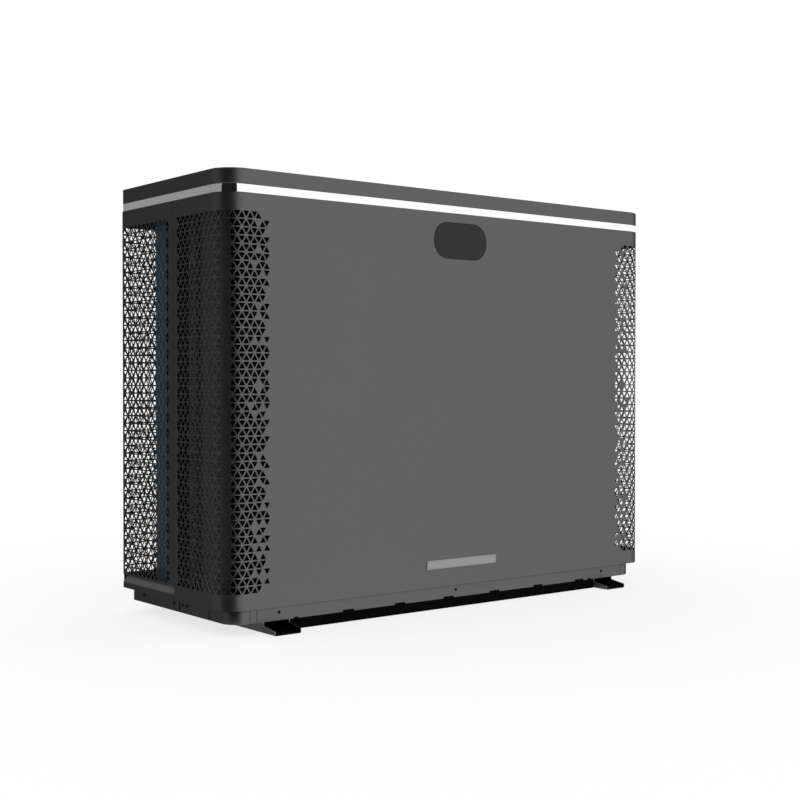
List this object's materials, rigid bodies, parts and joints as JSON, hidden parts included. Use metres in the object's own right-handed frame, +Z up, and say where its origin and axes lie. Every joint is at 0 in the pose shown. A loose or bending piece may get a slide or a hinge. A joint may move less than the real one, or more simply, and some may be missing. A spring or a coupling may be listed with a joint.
{
  "type": "pool heat pump",
  "caption": "Free-standing box-shaped pool heat pump with perforated corners, bright trim strip, display window, inner fan and coil, and rear water unions.",
  "frame": {"origin": "on the ground under the middle of the foot rails' box", "axes": "+X to the unit's right seen from the front, +Y to the rear, +Z up; the front panel faces -Y"},
  "size_m": [1.25, 0.51, 0.95],
  "materials": {
    "cabinet_paint": "satin dark grey powder coat",
    "foot_paint": "satin dark grey paint",
    "black_steel": "matt black paint",
    "galvanised_steel": "galvanised sheet",
    "bright_trim": "polished",
    "display_glass": "smooth smoked window",
    "black_plastic": "moulded black plastic",
    "circuit_board": "circuit board",
    "plate_metal": "satin",
    "blue_fins": "blue hydrophilic coating",
    "copper": "drawn copper tube",
    "seal_rubber": "rubber",
    "fan_plastic": "moulded grey plastic",
    "shaft_steel": "bright steel",
    "motor_paint": "black enamel",
    "valve_brass": "brass",
    "exchanger_plastic": "moulded PVC",
    "screw_steel": "blackened"
  },
  "bodies": {
    "cabinet": {"base_pan": "black_steel", "front_skirt": "cabinet_paint", "left_corner_skirt": "cabinet_paint", "right_corner_skirt": "cabinet_paint", "left_side_skirt": "cabinet_paint", "right_side_skirt": "cabinet_paint", "rear_skirt": "cabinet_paint", "left_foot_rail": "foot_paint", "right_foot_rail": "foot_paint", "crossbars": "black_steel", "front_posts": "black_steel", "mid_posts": "black_steel", "top_frame": "galvanised_steel", "front_panel": "cabinet_paint", "left_rear_panel": "cabinet_paint", "right_rear_panel": "cabinet_paint", "rear_panel": "cabinet_paint", "cable_panel": "cabinet_paint", "top_cover": "cabinet_paint", "front_trim_strip": "bright_trim", "left_trim_strip": "bright_trim", "right_trim_strip": "bright_trim", "rear_trim_strip": "bright_trim", "display_lens": "display_glass", "display_housing": "black_plastic", "display_board": "circuit_board", "nameplate": "plate_metal", "coil_fins": "blue_fins", "coil_end_plates": "blue_fins", "coil_pipework": "copper", "coil_guard": "black_steel", "fan_bulkhead": "galvanised_steel", "bulkhead_seals": "seal_rubber", "fan_shroud": "black_plastic", "fan_motor": "motor_paint", "fan_motor_bracket": "galvanised_steel", "partition": "galvanised_steel", "compressor": "motor_paint", "compressor_grommets": "seal_rubber", "compressor_bolts": "shaft_steel", "accumulator": "motor_paint", "refrigerant_pipes": "copper", "four_way_valve": "valve_brass", "expansion_valve": "valve_brass", "heat_exchanger": "exchanger_plastic", "connection_box": "black_plastic", "union_bodies": "exchanger_plastic", "union_tails": "exchanger_plastic", "control_box": "galvanised_steel", "control_box_lid": "galvanised_steel", "control_electronics": "circuit_board", "cable_glands": "black_plastic", "drain_spout": "black_plastic", "screws": "screw_steel"},
    "fan_rotor": {"fan": "fan_plastic", "fan_shaft": "shaft_steel", "fan_nut": "shaft_steel"},
    "inlet_nut": {"inlet_union_nut": "black_plastic"},
    "outlet_nut": {"outlet_union_nut": "black_plastic"}
  },
  "joints": [
    {"name": "fan_spin", "type": "hinge", "parent": "cabinet", "child": "fan_rotor", "pos_m": [-0.15, -0.077, 0.478], "axis": [0, -1, 0], "continuous": true},
    {"name": "inlet_nut_spin", "type": "hinge", "parent": "cabinet", "child": "inlet_nut", "pos_m": [0.48, 0.21, 0.12], "axis": [0, 1, 0], "continuous": true},
    {"name": "outlet_nut_spin", "type": "hinge", "parent": "cabinet", "child": "outlet_nut", "pos_m": [0.48, 0.21, 0.42], "axis": [0, 1, 0], "continuous": true}
  ]
}
